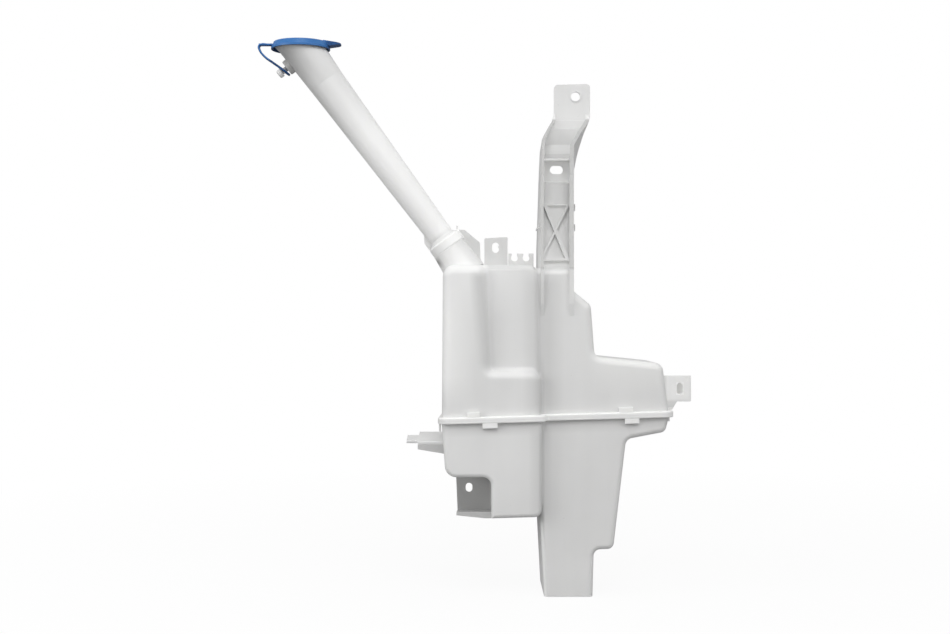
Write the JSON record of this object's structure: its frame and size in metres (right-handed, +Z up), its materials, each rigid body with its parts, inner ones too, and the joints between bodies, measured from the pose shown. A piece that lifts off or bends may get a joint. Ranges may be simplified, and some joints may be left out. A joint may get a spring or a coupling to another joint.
{
  "type": "washer fluid reservoir",
  "caption": "Translucent white washer fluid tank of two welded halves with a deep foot, a tall ribbed fixing arm, and a slanted conical filler neck under a tethered blue cap.",
  "frame": {"origin": "centre of the round hole at the top of the arm, on the face that meets the vehicle panel", "axes": "+Z up, +Y from the front face into the vehicle panel, +X to the right of the front face"},
  "size_m": [0.4329, 0.1142, 0.5454],
  "materials": {
    "white_plastic": "translucent natural polymer, satin",
    "blue_plastic": "satin",
    "seal_rubber": "matte"
  },
  "bodies": {
    "tank": {"upper_shell": "white_plastic", "lower_shell": "white_plastic", "filler_neck": "white_plastic", "neck_seal": "seal_rubber", "cap_strap": "blue_plastic"},
    "cap": {"filler_cap": "blue_plastic"}
  },
  "joints": [
    {"name": "cap_lift", "type": "hinge", "parent": "tank", "child": "cap", "pos_m": [-0.3194, -0.055, 0.0432], "axis": [0, -1, 0], "range_deg": [0, 110]}
  ]
}
